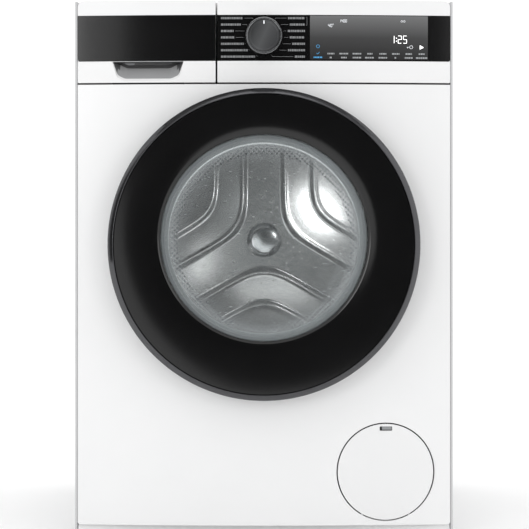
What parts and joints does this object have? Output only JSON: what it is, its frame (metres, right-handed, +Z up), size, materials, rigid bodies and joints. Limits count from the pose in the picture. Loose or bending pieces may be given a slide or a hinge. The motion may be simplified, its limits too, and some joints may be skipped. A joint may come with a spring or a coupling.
{
  "type": "front load washing machine",
  "caption": "Free-standing front loading washing machine with a round glazed door, dial and touch display, detergent drawer, sprung tub with a belt-driven drum, pump and service flap.",
  "frame": {"origin": "middle of the machine's footprint, on the floor", "axes": "+X to the right seen from the front, -Y towards the user, +Z up"},
  "size_m": [0.598, 0.634, 0.848],
  "materials": {
    "white_enamel": "white enamelled sheet steel",
    "white_plastic": "white moulded plastic, satin",
    "grey_plastic": "grey moulded plastic",
    "black_plastic": "black moulded plastic",
    "black_gloss": "piano black",
    "dark_chrome": "dark chromed plastic",
    "silver": "satin silver",
    "dial_grey": "dark metallic grey with a diagonal sheen",
    "glass": "clear pressed glass",
    "stainless": "stainless steel sheet",
    "zinc_steel": "zinc-plated steel",
    "steel": "plain steel",
    "cast_alloy": "die-cast aluminium",
    "concrete": "cast concrete",
    "rubber_grey": "grey rubber",
    "rubber_black": "black rubber",
    "tub_plastic": "filled polypropylene",
    "laminate": "white laminated chipboard"
  },
  "bodies": {
    "cabinet": {"left_side_panel": "white_enamel", "right_side_panel": "white_enamel", "rear_feet": "rubber_black", "rear_panel": "zinc_steel", "rear_access_cover": "zinc_steel", "base_pan": "white_plastic", "front_panel": "white_enamel", "worktop": "laminate", "cross_rails": "zinc_steel", "cabinet_screws": "steel", "transport_bolt_covers": "grey_plastic", "fascia": "white_plastic", "control_band": "black_gloss", "display_board": "black_plastic", "dispenser_housing": "tub_plastic", "door_hinge": "zinc_steel", "door_lock": "black_plastic", "damper_cylinders": "black_plastic", "pump_housing": "white_plastic", "inlet_valve": "white_plastic", "drain_hose": "rubber_black", "drain_outlet": "grey_plastic", "mains_gland": "black_plastic", "door_gasket": "rubber_grey"},
    "left_front_foot": {"left_front_foot": "rubber_black"},
    "right_front_foot": {"right_front_foot": "rubber_black"},
    "knob": {"programme_knob": "dial_grey", "knob_ring": "silver"},
    "drawer": {"drawer_front": "white_plastic", "drawer_band": "black_gloss", "drawer_tray": "grey_plastic"},
    "dosing_insert": {"dosing_insert": "white_plastic"},
    "release_lever": {"drawer_release_lever": "white_plastic"},
    "door": {"door_ring": "black_gloss", "door_rim_trim": "dark_chrome", "door_inner_frame": "grey_plastic", "door_glass": "glass", "hinge_pin": "steel"},
    "latch": {"latch_hook": "steel"},
    "lock_bolt": {"door_lock_bolt": "white_plastic"},
    "wash_unit": {"tub_front": "tub_plastic", "tub_rear": "tub_plastic", "front_counterweight": "concrete", "upper_counterweight": "concrete", "drum_bearings": "steel", "drive_belt": "rubber_black", "motor_housing": "steel", "heater": "stainless", "damper_rods": "grey_plastic", "suspension_springs": "steel", "sump_hose": "rubber_black", "dispenser_hose": "rubber_black"},
    "drum": {"drum_shell": "stainless", "drum_paddles": "white_plastic", "drum_spider": "cast_alloy", "drum_pulley": "cast_alloy"},
    "rotor": {"motor_pulley": "steel"},
    "impeller": {"pump_impeller": "grey_plastic"},
    "filter": {"pump_filter": "grey_plastic"},
    "service_flap": {"service_flap": "white_plastic"}
  },
  "joints": [
    {"name": "door_swing", "type": "hinge", "parent": "cabinet", "child": "door", "pos_m": [-0.232, -0.285, 0.462], "axis": [0, 0, -1], "range_deg": [0, 115]},
    {"name": "latch_release", "type": "hinge", "parent": "door", "child": "latch", "pos_m": [0.204, -0.293, 0.462], "axis": [0, 0, 1], "range_deg": [0, 12], "stiffness_Nm_per_rad": 0.5, "springref_deg": -5.73},
    {"name": "lock_bolt_slide", "type": "slide", "parent": "cabinet", "child": "lock_bolt", "axis": [0, 0, 1], "range_m": [0, 0.01]},
    {"name": "drawer_slide", "type": "slide", "parent": "cabinet", "child": "drawer", "axis": [0, -1, 0], "range_m": [0, 0.19]},
    {"name": "dosing_insert_fold", "type": "hinge", "parent": "drawer", "child": "dosing_insert", "pos_m": [-0.253, -0.132, 0.798], "axis": [1, 0, 0], "range_deg": [0, 85]},
    {"name": "release_lever_press", "type": "hinge", "parent": "drawer", "child": "release_lever", "pos_m": [-0.187, -0.043, 0.7915], "axis": [1, 0, 0], "range_deg": [0, 12], "stiffness_Nm_per_rad": 0.05, "springref_deg": -11.46},
    {"name": "programme_turn", "type": "hinge", "parent": "cabinet", "child": "knob", "pos_m": [0, -0.271, 0.7899], "axis": [0, -1, 0], "continuous": true},
    {"name": "tub_bounce", "type": "slide", "parent": "cabinet", "child": "wash_unit", "axis": [0, 0, 1], "range_m": [-0.01, 0.01], "stiffness_N_per_m": 16000, "springref_m": 0.026, "deforming": ["suspension_springs", "sump_hose", "dispenser_hose", "door_gasket"]},
    {"name": "drum_spin", "type": "hinge", "parent": "wash_unit", "child": "drum", "pos_m": [0, 0, 0.47], "axis": [0, 1, 0], "continuous": true},
    {"name": "motor_spin", "type": "hinge", "parent": "wash_unit", "child": "rotor", "pos_m": [0.07, 0, 0.138], "axis": [0, 1, 0], "continuous": true},
    {"name": "impeller_spin", "type": "hinge", "parent": "cabinet", "child": "impeller", "pos_m": [0.1918, 0, 0.1035], "axis": [0, 1, 0], "continuous": true},
    {"name": "filter_turn", "type": "hinge", "parent": "cabinet", "child": "filter", "pos_m": [0.1918, 0, 0.1035], "axis": [0, 1, 0], "range_deg": [0, 90]},
    {"name": "service_flap_swing", "type": "hinge", "parent": "cabinet", "child": "service_flap", "pos_m": [0.1918, -0.26474, 0.036], "axis": [0.9986, 0.0533, 0], "range_deg": [0, 80]},
    {"name": "left_foot_height", "type": "slide", "parent": "cabinet", "child": "left_front_foot", "axis": [0, 0, -1], "range_m": [0, 0.012]},
    {"name": "right_foot_height", "type": "slide", "parent": "cabinet", "child": "right_front_foot", "axis": [0, 0, -1], "range_m": [0, 0.012]}
  ],
  "couplings": [
    {"joint": "motor_spin", "follows": "drum_spin", "ratio": 11}
  ]
}
